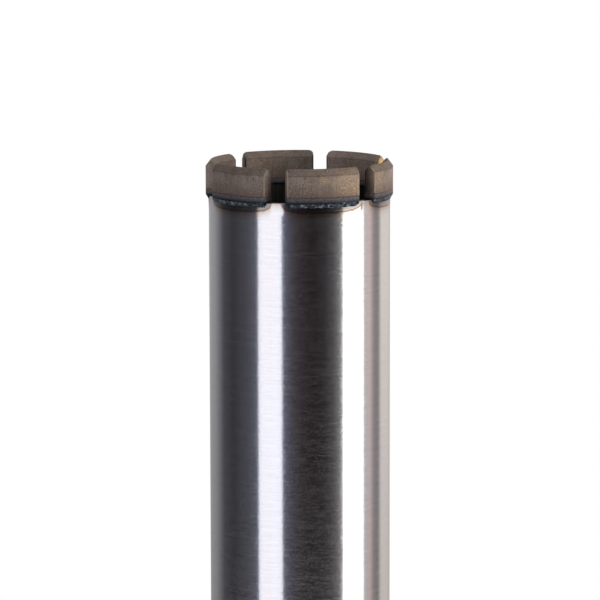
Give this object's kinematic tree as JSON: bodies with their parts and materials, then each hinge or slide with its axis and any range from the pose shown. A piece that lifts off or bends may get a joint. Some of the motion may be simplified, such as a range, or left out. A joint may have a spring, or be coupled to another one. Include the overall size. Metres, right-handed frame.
{
  "type": "diamond core bit",
  "caption": "Wet diamond core bit: a brushed steel barrel with roof-top diamond segments welded round its rim, on a hexagonal hub with a spindle thread.",
  "frame": {"origin": "centre of the hub's end face, on which the bit stands", "axes": "+Z along the barrel from the hub to the cutting crown; +X and +Y across it, -Y towards the viewer of the picture"},
  "size_m": [0.062, 0.062, 0.3552],
  "materials": {
    "barrel_steel": "ground round the tube, heat-tinted under each segment",
    "cap_steel": "turned and milled",
    "weld_metal": "blue-black weld bead",
    "segment_matrix": "matt sintered bronze-grey matrix with diamond grit"
  },
  "bodies": {
    "root": {"barrel": "barrel_steel", "end_cap": "cap_steel", "cap_weld": "weld_metal", "segment_1": "segment_matrix", "segment_2": "segment_matrix", "segment_3": "segment_matrix", "segment_4": "segment_matrix", "segment_5": "segment_matrix", "segment_6": "segment_matrix", "segment_weld_1": "weld_metal", "segment_weld_2": "weld_metal", "segment_weld_3": "weld_metal", "segment_weld_4": "weld_metal", "segment_weld_5": "weld_metal", "segment_weld_6": "weld_metal"}
  },
  "joints": []
}
